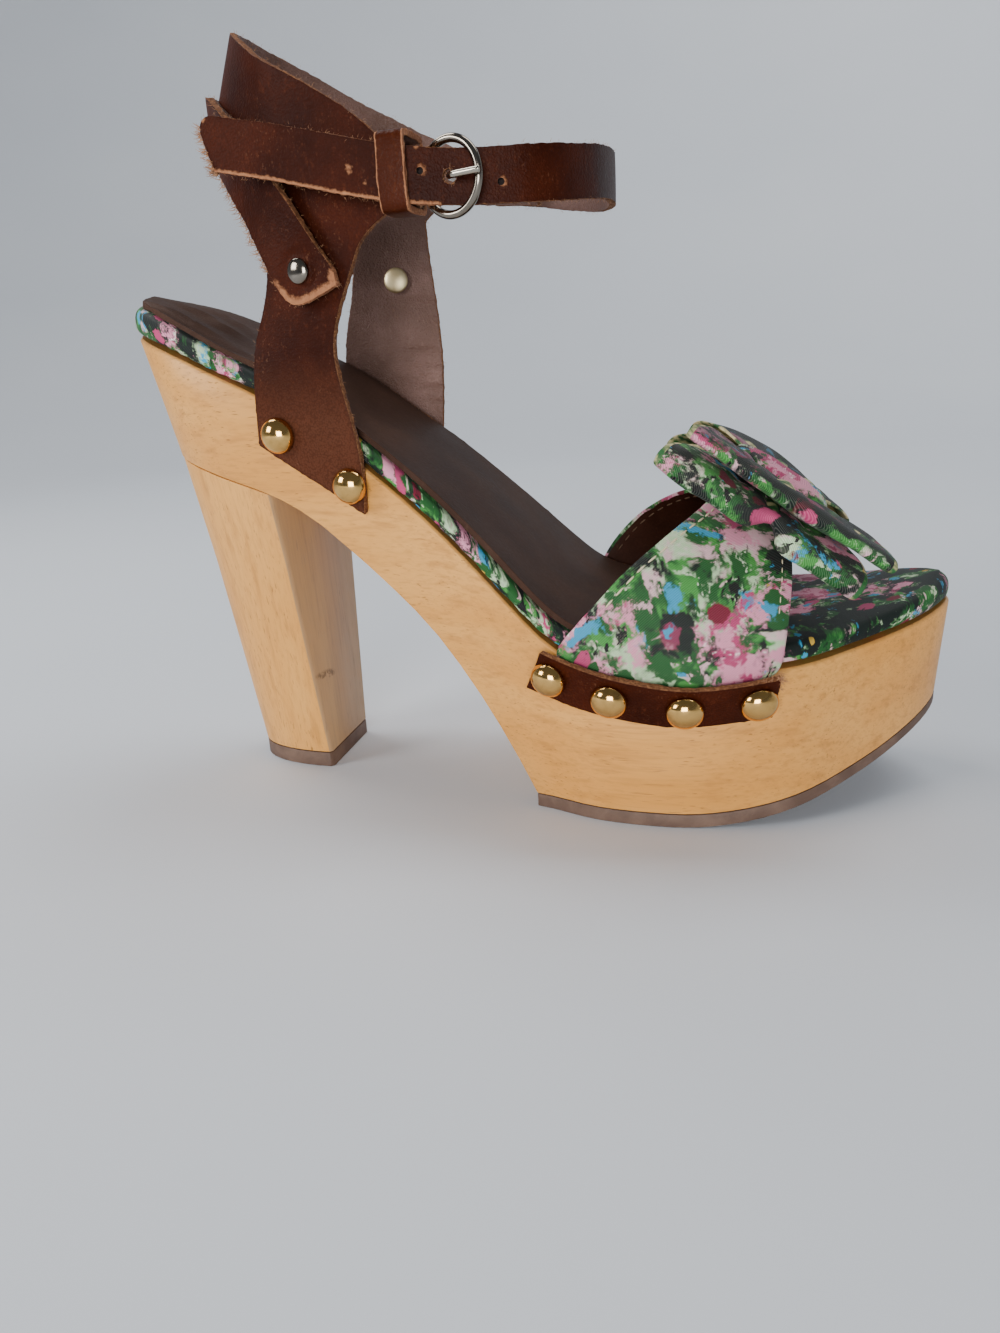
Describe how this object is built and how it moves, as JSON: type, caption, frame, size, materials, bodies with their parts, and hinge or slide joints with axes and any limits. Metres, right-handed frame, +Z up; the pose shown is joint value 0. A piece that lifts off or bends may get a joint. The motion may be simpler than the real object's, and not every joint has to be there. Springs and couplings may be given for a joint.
{
  "type": "platform sandal",
  "caption": "High-heeled platform sandal with a carved wood sole and block heel, a floral fabric vamp with a ribbon bow, leather quarters and a buckled ankle strap.",
  "frame": {"origin": "bottom centre of the standing shoe's box, on the floor", "axes": "+X to the toe, +Y to the inner (medial) side of a right foot, +Z up from the floor"},
  "size_m": [0.223, 0.0954, 0.1992],
  "materials": {
    "wood": "pale wood with fine pores, satin clear lacquer",
    "rubber": "matt brown",
    "leather": "dark brown, fine grain, raw lighter edges",
    "sock": "matt grey brown",
    "fabric": "floral twill in green, pink, cream and blue",
    "gold": "polished pale gold",
    "nickel": "polished pale nickel"
  },
  "bodies": {
    "root": {"wood_sole": "wood", "heel_block": "wood", "heel_tip": "rubber", "outsole": "rubber", "insole": "fabric", "sock": "sock", "vamp": "fabric", "strip_lateral": "leather", "strip_medial": "leather", "stud_vamp_lateral_1": "gold", "stud_vamp_lateral_2": "gold", "stud_vamp_lateral_3": "gold", "stud_vamp_lateral_4": "gold", "stud_vamp_medial_1": "gold", "stud_vamp_medial_2": "gold", "stud_vamp_medial_3": "gold", "stud_vamp_medial_4": "gold", "ankle_collar": "leather", "stud_quarter_lateral_1": "gold", "stud_quarter_lateral_2": "gold", "stud_quarter_medial_1": "gold", "stud_quarter_medial_2": "gold", "rivet_lateral_inner": "gold", "rivet_lateral_outer": "nickel", "rivet_medial_inner": "gold", "rivet_medial_outer": "nickel", "heel_strap": "leather", "ankle_strap": "leather", "buckle_ring": "nickel", "buckle_prong": "nickel", "keeper": "leather", "bow_loop_lower": "fabric", "bow_loop_upper": "fabric", "bow_knot": "fabric"}
  },
  "joints": []
}
